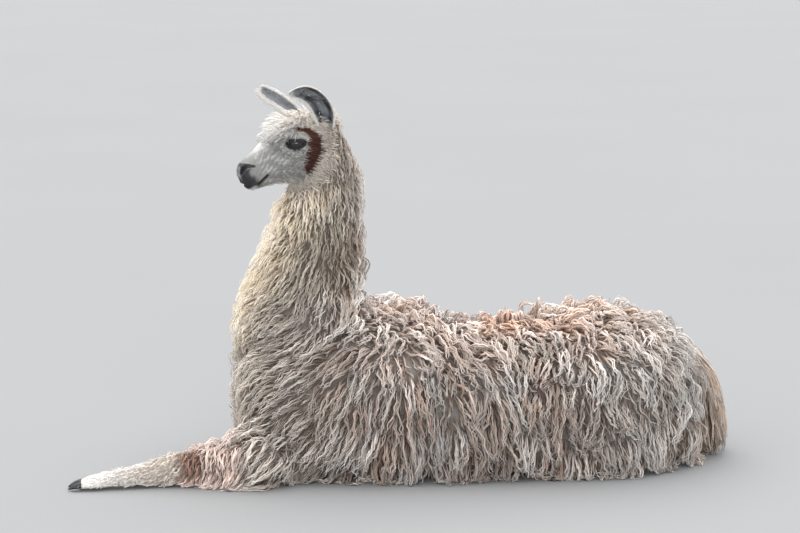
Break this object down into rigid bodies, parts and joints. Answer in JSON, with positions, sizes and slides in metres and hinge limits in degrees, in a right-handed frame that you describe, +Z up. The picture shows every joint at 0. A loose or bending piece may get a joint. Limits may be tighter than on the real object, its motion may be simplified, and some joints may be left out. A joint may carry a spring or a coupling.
{
  "type": "llama model",
  "caption": "Still life-size model of a llama lying on its folded legs with one foreleg stretched forward, neck upright and head turned, in full shaggy fleece.",
  "frame": {"origin": "on the floor under the middle of the whole animal, the bottom centre of its box", "axes": "-X to the front (breast and stretched foreleg), -Y to the animal's left, +Z up"},
  "size_m": [1.7516, 0.5691, 1.0104],
  "materials": {
    "fleece": "long ropy locks, grey-beige with apricot back, matt",
    "neck_wool": "cream wavy wool, matt",
    "face_hair": "short white to pale grey hair, dark grey muzzle, rust-brown cheek patch",
    "ear_hair": "short grey hair inside, white fringe",
    "forearm_hair": "blush hanging hair with a rust-brown knee",
    "leg_wool": "white curly wool, short and smooth at the foot",
    "tail_hair": "long straight light-brown hair with pale edges",
    "eye": "very dark brown, glossy and wet",
    "nail": "dark horn, dull satin"
  },
  "bodies": {
    "root": {"trunk": "fleece", "neck": "neck_wool", "head": "face_hair", "lower_jaw": "face_hair", "topknot": "neck_wool", "ear_left": "ear_hair", "ear_right": "ear_hair", "eye_left": "eye", "eye_right": "eye", "tail": "tail_hair", "forearm_left": "forearm_hair", "fore_cannon_left": "leg_wool", "fore_foot_left": "leg_wool", "forearm_right": "forearm_hair", "fore_foot_right": "leg_wool", "thigh_left": "fleece", "shank_left": "fleece", "hind_foot_left": "leg_wool", "thigh_right": "fleece", "shank_right": "fleece", "hind_foot_right": "leg_wool", "fore_nail_left_1": "nail", "fore_nail_left_2": "nail", "fore_nail_right_1": "nail", "fore_nail_right_2": "nail", "hind_nail_left_1": "nail", "hind_nail_left_2": "nail", "hind_nail_right_1": "nail", "hind_nail_right_2": "nail"}
  },
  "joints": []
}
